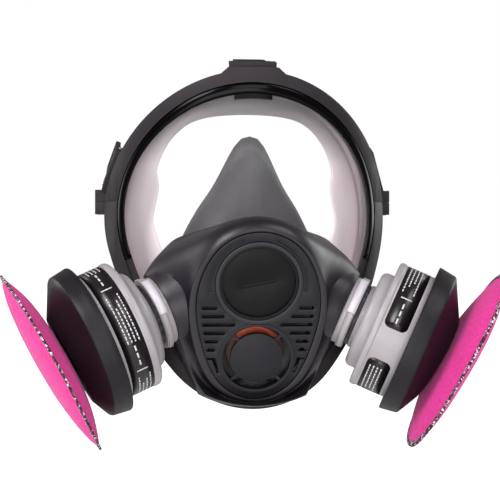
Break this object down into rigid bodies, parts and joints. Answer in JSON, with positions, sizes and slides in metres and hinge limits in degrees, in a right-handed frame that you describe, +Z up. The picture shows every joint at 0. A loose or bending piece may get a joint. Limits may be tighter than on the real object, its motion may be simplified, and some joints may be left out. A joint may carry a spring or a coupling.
{
  "type": "full-face respirator",
  "caption": "Full-face respirator: curved clear lens in a dark frame, sloping black valve housing, side gas cartridges with push-fit adapters and domed pink particle filters.",
  "frame": {"origin": "centre of the face opening, level with the side of the lens frame", "axes": "+Z up, +Y towards the wearer, so the lens and filters face -Y; +X is the wearer's left"},
  "size_m": [0.2966, 0.1603, 0.2302],
  "materials": {
    "lens": "clear polished",
    "film": "thin film",
    "seal": "satin soft",
    "nose": "satin soft",
    "seat": "matt",
    "seat_dark": "matt",
    "valve_grey": "soft",
    "valve_orange": "soft",
    "screw": "blackened",
    "frame": "fine texture",
    "housing": "satin gloss",
    "housing_ring": "matt",
    "gasket": "matt",
    "cap": "satin",
    "cover": "satin",
    "ring_light": "satin",
    "case": "satin",
    "screen": "matt",
    "sorbent": "granular",
    "adapter": "satin",
    "hub": "matt",
    "media": "woven web",
    "pin": "satin",
    "buckle": "satin",
    "roller": "satin"
  },
  "bodies": {
    "facepiece": {"lens": "lens", "frame_upper": "frame", "frame_lower": "frame", "frame_screws": "screw", "frame_nuts": "screw", "face_seal": "seal", "nose_cup": "nose", "front_housing": "housing", "housing_gasket": "gasket", "clamp_ring": "housing_ring", "speech_diaphragm": "film", "diaphragm_oring": "gasket", "diaphragm_ring": "housing_ring", "exhalation_seat": "seat_dark", "buckle_pins": "pin", "connector_left": "ring_light", "connector_right": "ring_light", "connector_ring_left": "ring_light", "connector_ring_right": "ring_light", "nose_valve_seat_left": "seat", "nose_valve_seat_right": "seat"},
    "front_cover": {"front_cover": "cover"},
    "diaphragm_cap": {"diaphragm_cap": "cap"},
    "exhalation_valve": {"exhalation_valve": "valve_orange"},
    "inhalation_valve_left": {"inhalation_valve_left": "valve_orange"},
    "nose_valve_left": {"nose_valve_left": "valve_grey"},
    "cartridge_travel_left": {"cartridge_gasket_left": "gasket"},
    "cartridge_left": {"cartridge_case_left": "case", "bed_screens_left": "screen", "sorbent_bed_left": "sorbent", "cartridge_cap_left": "case"},
    "adapter_left": {"filter_adapter_left": "adapter", "adapter_seal_left": "gasket"},
    "filter_left": {"filter_hub_left": "hub", "filter_pad_left": "media"},
    "inhalation_valve_right": {"inhalation_valve_right": "valve_orange"},
    "nose_valve_right": {"nose_valve_right": "valve_grey"},
    "cartridge_travel_right": {"cartridge_gasket_right": "gasket"},
    "cartridge_right": {"cartridge_case_right": "case", "bed_screens_right": "screen", "sorbent_bed_right": "sorbent", "cartridge_cap_right": "case"},
    "adapter_right": {"filter_adapter_right": "adapter", "adapter_seal_right": "gasket"},
    "filter_right": {"filter_hub_right": "hub", "filter_pad_right": "media"},
    "buckle_brow": {"buckle_brow": "buckle"},
    "roller_brow": {"roller_brow": "roller"},
    "buckle_temple_left": {"buckle_temple_left": "buckle"},
    "roller_temple_left": {"roller_temple_left": "roller"},
    "buckle_temple_right": {"buckle_temple_right": "buckle"},
    "roller_temple_right": {"roller_temple_right": "roller"},
    "buckle_cheek_left": {"buckle_cheek_left": "buckle"},
    "roller_cheek_left": {"roller_cheek_left": "roller"},
    "buckle_cheek_right": {"buckle_cheek_right": "buckle"},
    "roller_cheek_right": {"roller_cheek_right": "roller"}
  },
  "joints": [
    {"name": "front_cover_pull_off", "type": "slide", "parent": "facepiece", "child": "front_cover", "axis": [0, -0.9385, -0.3453], "range_m": [0, 0.03]},
    {"name": "diaphragm_cap_turn", "type": "hinge", "parent": "facepiece", "child": "diaphragm_cap", "pos_m": [0, -0.082, -0.0268], "axis": [0, -0.9385, -0.3453], "range_deg": [0, 90]},
    {"name": "exhalation_valve_lift", "type": "slide", "parent": "facepiece", "child": "exhalation_valve", "axis": [0, -0.9385, -0.3453], "range_m": [0, 0.0025], "stiffness_N_per_m": 8},
    {"name": "inhalation_valve_left_lift", "type": "slide", "parent": "facepiece", "child": "inhalation_valve_left", "axis": [-0.8948, 0.1956, 0.4013], "range_m": [0, 0.002], "stiffness_N_per_m": 8},
    {"name": "nose_valve_left_lift", "type": "slide", "parent": "facepiece", "child": "nose_valve_left", "axis": [-1, 0, 0], "range_m": [0, 0.002], "stiffness_N_per_m": 8},
    {"name": "cartridge_left_travel", "type": "slide", "parent": "facepiece", "child": "cartridge_travel_left", "axis": [0.8948, -0.1956, -0.4013], "range_m": [0, 0.0095]},
    {"name": "cartridge_left_unscrew", "type": "hinge", "parent": "cartridge_travel_left", "child": "cartridge_left", "pos_m": [0.0566, -0.055, -0.0446], "axis": [0.8948, -0.1956, -0.4013], "range_deg": [0, 540]},
    {"name": "adapter_left_pull_off", "type": "slide", "parent": "cartridge_left", "child": "adapter_left", "axis": [0.8948, -0.1956, -0.4013], "range_m": [0, 0.02]},
    {"name": "filter_left_turn", "type": "hinge", "parent": "adapter_left", "child": "filter_left", "pos_m": [0.1094, -0.06654, -0.06828], "axis": [0.8681, -0.09, -0.4881], "range_deg": [0, 90]},
    {"name": "inhalation_valve_right_lift", "type": "slide", "parent": "facepiece", "child": "inhalation_valve_right", "axis": [0.8948, 0.1956, 0.4013], "range_m": [0, 0.002], "stiffness_N_per_m": 8},
    {"name": "nose_valve_right_lift", "type": "slide", "parent": "facepiece", "child": "nose_valve_right", "axis": [1, 0, 0], "range_m": [0, 0.002], "stiffness_N_per_m": 8},
    {"name": "cartridge_right_travel", "type": "slide", "parent": "facepiece", "child": "cartridge_travel_right", "axis": [-0.8948, -0.1956, -0.4013], "range_m": [0, 0.0095]},
    {"name": "cartridge_right_unscrew", "type": "hinge", "parent": "cartridge_travel_right", "child": "cartridge_right", "pos_m": [-0.0566, -0.055, -0.0446], "axis": [-0.8948, -0.1956, -0.4013], "range_deg": [0, 540]},
    {"name": "adapter_right_pull_off", "type": "slide", "parent": "cartridge_right", "child": "adapter_right", "axis": [-0.8948, -0.1956, -0.4013], "range_m": [0, 0.02]},
    {"name": "filter_right_turn", "type": "hinge", "parent": "adapter_right", "child": "filter_right", "pos_m": [-0.1094, -0.06654, -0.06828], "axis": [-0.8681, -0.09, -0.4881], "range_deg": [0, 90]},
    {"name": "buckle_brow_swing", "type": "hinge", "parent": "facepiece", "child": "buckle_brow", "pos_m": [0, -0.0465, 0.1006], "axis": [1, 0, 0], "range_deg": [-22, 60]},
    {"name": "roller_brow_turn", "type": "hinge", "parent": "buckle_brow", "child": "roller_brow", "pos_m": [0, -0.03376, 0.1032], "axis": [1, 0, 0], "continuous": true},
    {"name": "buckle_temple_left_swing", "type": "hinge", "parent": "facepiece", "child": "buckle_temple_left", "pos_m": [0.0814, 0.0034, 0.0417], "axis": [0.3107, 0.4009, -0.8619], "range_deg": [-10, 60]},
    {"name": "roller_temple_left_turn", "type": "hinge", "parent": "buckle_temple_left", "child": "roller_temple_left", "pos_m": [0.08068, 0.01527, 0.04696], "axis": [0.3107, 0.4009, -0.8619], "continuous": true},
    {"name": "buckle_temple_right_swing", "type": "hinge", "parent": "facepiece", "child": "buckle_temple_right", "pos_m": [-0.0814, 0.0034, 0.0417], "axis": [0.3107, -0.4009, 0.8619], "range_deg": [-10, 60]},
    {"name": "roller_temple_right_turn", "type": "hinge", "parent": "buckle_temple_right", "child": "roller_temple_right", "pos_m": [-0.08068, 0.01527, 0.04696], "axis": [0.3107, -0.4009, 0.8619], "continuous": true},
    {"name": "buckle_cheek_left_swing", "type": "hinge", "parent": "facepiece", "child": "buckle_cheek_left", "pos_m": [0.0672, -0.0146, -0.0538], "axis": [-0.4519, -0.4089, -0.7928], "range_deg": [-10, 45]},
    {"name": "roller_cheek_left_turn", "type": "hinge", "parent": "buckle_cheek_left", "child": "roller_cheek_left", "pos_m": [0.06516, -0.00275, -0.05875], "axis": [-0.4519, -0.4089, -0.7928], "continuous": true},
    {"name": "buckle_cheek_right_swing", "type": "hinge", "parent": "facepiece", "child": "buckle_cheek_right", "pos_m": [-0.0672, -0.0146, -0.0538], "axis": [-0.4519, 0.4089, 0.7928], "range_deg": [-10, 45]},
    {"name": "roller_cheek_right_turn", "type": "hinge", "parent": "buckle_cheek_right", "child": "roller_cheek_right", "pos_m": [-0.06516, -0.00275, -0.05875], "axis": [-0.4519, 0.4089, 0.7928], "continuous": true}
  ],
  "couplings": [
    {"joint": "cartridge_left_travel", "follows": "cartridge_left_unscrew", "m_per_rad": 0.000955},
    {"joint": "cartridge_right_travel", "follows": "cartridge_right_unscrew", "m_per_rad": 0.000955}
  ]
}
